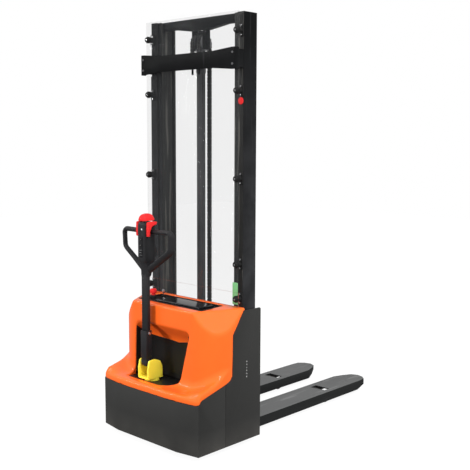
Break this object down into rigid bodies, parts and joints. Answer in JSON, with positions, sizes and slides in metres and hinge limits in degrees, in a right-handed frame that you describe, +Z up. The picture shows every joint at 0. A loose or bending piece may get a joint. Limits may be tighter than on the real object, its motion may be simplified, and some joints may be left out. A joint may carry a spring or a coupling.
{
  "type": "walkie stacker",
  "caption": "Pedestrian pallet stacker: orange hood over a steel chassis, duplex mast with clear guard, chain-lifted forks, support legs and a steering tiller.",
  "frame": {"origin": "on the floor, under the centre of the outline of the truck with the tiller upright and the forks down", "axes": "+Z up, +Y towards the fork tips, +X to the right seen from the operator"},
  "size_m": [0.774, 1.708, 2.33],
  "materials": {
    "hood_orange": "glossy moulded shell",
    "chassis_grey": "fine textured powder coat",
    "frame_black": "satin",
    "mast_black": "satin, worn bright where rollers run",
    "black_plastic": "moulded",
    "handle_black": "fine moulded grain",
    "display_black": "gloss",
    "signal_red": "satin moulded",
    "safety_yellow": "gloss",
    "fork_grey": "satin, rubbed",
    "bright_steel": "polished",
    "roller_steel": "turned",
    "chain_steel": "oiled",
    "clear_guard": "clear sheet",
    "cable_black": "matt",
    "gear_grey": "cast and painted",
    "tread": "polyurethane",
    "zinc_steel": "zinc plated",
    "button_grey": "satin"
  },
  "bodies": {
    "chassis": {"chassis_frame": "frame_black", "front_skirt": "chassis_grey", "side_panel_left": "chassis_grey", "side_panel_right": "chassis_grey", "hood_cover": "hood_orange", "well_liner": "black_plastic", "top_tray": "black_plastic", "battery_display": "display_black", "battery_pack": "black_plastic", "hydraulic_power_unit": "gear_grey", "switch_collars": "black_plastic", "outer_mast_left": "mast_black", "outer_mast_right": "mast_black", "mast_ties_lower": "mast_black", "mast_tie_upper": "mast_black", "chain_anchor_bracket": "mast_black", "lift_cylinder": "mast_black", "mast_guard_upper": "clear_guard", "mast_guard_lower": "clear_guard", "guard_clips": "black_plastic", "mast_cable": "cable_black", "support_leg_left": "frame_black", "support_leg_right": "frame_black", "chain_front_runs": "chain_steel"},
    "inner_mast": {"inner_mast_left": "mast_black", "inner_mast_right": "mast_black", "inner_crosshead": "mast_black", "inner_tie_lower": "mast_black", "inner_mast_rollers": "roller_steel", "piston_rod": "bright_steel", "sheave_block": "mast_black", "chain_rear_runs": "chain_steel"},
    "sheaves": {"chain_sheaves": "roller_steel"},
    "carriage": {"carriage_frame": "frame_black", "carriage_rollers": "roller_steel", "fork_left": "fork_grey", "fork_right": "fork_grey"},
    "drive_turntable": {"drive_gearbox": "gear_grey", "drive_motor": "black_plastic", "tiller_yoke": "safety_yellow", "tiller_pivot_pin": "bright_steel", "tiller_return_springs": "bright_steel"},
    "drive_wheel": {"drive_wheel": "tread"},
    "tiller": {"tiller_sleeve": "handle_black", "tiller_tube": "handle_black", "sleeve_bolt": "bright_steel", "handle_loops": "handle_black", "tiller_head": "handle_black"},
    "throttle": {"throttle_wings": "signal_red"},
    "belly_switch": {"belly_switch": "signal_red"},
    "lift_button": {"lift_button": "button_grey"},
    "lower_button": {"lower_button": "button_grey"},
    "emergency_stop": {"emergency_stop": "signal_red"},
    "ignition_key": {"ignition_key": "bright_steel"},
    "caster_swivel_left": {"caster_fork_left": "zinc_steel"},
    "caster_swivel_right": {"caster_fork_right": "zinc_steel"},
    "caster_wheel_left": {"caster_wheel_left": "tread"},
    "caster_wheel_right": {"caster_wheel_right": "tread"},
    "load_roller_left": {"load_roller_left": "tread"},
    "load_roller_right": {"load_roller_right": "tread"}
  },
  "joints": [
    {"name": "mast_lift", "type": "slide", "parent": "chassis", "child": "inner_mast", "axis": [0, 0, 1], "range_m": [0, 1.65], "deforming": ["chain_front_runs"]},
    {"name": "carriage_lift", "type": "slide", "parent": "inner_mast", "child": "carriage", "axis": [0, 0, 1], "range_m": [0, 1.65], "deforming": ["chain_rear_runs"]},
    {"name": "sheave_spin", "type": "hinge", "parent": "inner_mast", "child": "sheaves", "pos_m": [0, -0.43, 2.195], "axis": [1, 0, 0], "continuous": true},
    {"name": "steer", "type": "hinge", "parent": "chassis", "child": "drive_turntable", "pos_m": [-0.085, -0.734, 0.31], "axis": [0, 0, 1], "range_deg": [-45, 45]},
    {"name": "drive_spin", "type": "hinge", "parent": "drive_turntable", "child": "drive_wheel", "pos_m": [-0.085, -0.734, 0.105], "axis": [1, 0, 0], "continuous": true},
    {"name": "tiller_tilt", "type": "hinge", "parent": "drive_turntable", "child": "tiller", "pos_m": [-0.085, -0.766, 0.44], "axis": [1, 0, 0], "range_deg": [0, 78], "stiffness_Nm_per_rad": 30, "springref_deg": -51.57},
    {"name": "throttle_turn", "type": "hinge", "parent": "tiller", "child": "throttle", "pos_m": [-0.085, -0.786, 1.186], "axis": [1, 0, 0], "range_deg": [-20, 20], "stiffness_Nm_per_rad": 0.8},
    {"name": "belly_press", "type": "slide", "parent": "tiller", "child": "belly_switch", "axis": [0, 0, -1], "range_m": [0, 0.006], "stiffness_N_per_m": 900, "springref_m": -0.004},
    {"name": "lift_press", "type": "slide", "parent": "tiller", "child": "lift_button", "axis": [0, 1, 0], "range_m": [0, 0.003], "stiffness_N_per_m": 600, "springref_m": -0.001},
    {"name": "lower_press", "type": "slide", "parent": "tiller", "child": "lower_button", "axis": [0, 1, 0], "range_m": [0, 0.003], "stiffness_N_per_m": 600, "springref_m": -0.001},
    {"name": "stop_press", "type": "slide", "parent": "chassis", "child": "emergency_stop", "axis": [0, 0, -1], "range_m": [0, 0.007]},
    {"name": "key_turn", "type": "hinge", "parent": "chassis", "child": "ignition_key", "pos_m": [-0.205, -0.536, 0.78], "axis": [0, 0, 1], "range_deg": [0, 90]},
    {"name": "caster_swivel_left", "type": "hinge", "parent": "chassis", "child": "caster_swivel_left", "pos_m": [-0.3, -0.774, 0.112], "axis": [0, 0, 1], "continuous": true},
    {"name": "caster_spin_left", "type": "hinge", "parent": "caster_swivel_left", "child": "caster_wheel_left", "pos_m": [-0.3, -0.754, 0.0375], "axis": [1, 0, 0], "continuous": true},
    {"name": "load_roller_spin_left", "type": "hinge", "parent": "chassis", "child": "load_roller_left", "pos_m": [-0.197, 0.44, 0.037], "axis": [1, 0, 0], "continuous": true},
    {"name": "caster_swivel_right", "type": "hinge", "parent": "chassis", "child": "caster_swivel_right", "pos_m": [0.3, -0.774, 0.112], "axis": [0, 0, 1], "continuous": true},
    {"name": "caster_spin_right", "type": "hinge", "parent": "caster_swivel_right", "child": "caster_wheel_right", "pos_m": [0.3, -0.754, 0.0375], "axis": [1, 0, 0], "continuous": true},
    {"name": "load_roller_spin_right", "type": "hinge", "parent": "chassis", "child": "load_roller_right", "pos_m": [0.197, 0.44, 0.037], "axis": [1, 0, 0], "continuous": true}
  ],
  "couplings": [
    {"joint": "carriage_lift", "follows": "mast_lift", "ratio": 1},
    {"joint": "sheave_spin", "follows": "mast_lift", "rad_per_m": 25}
  ]
}
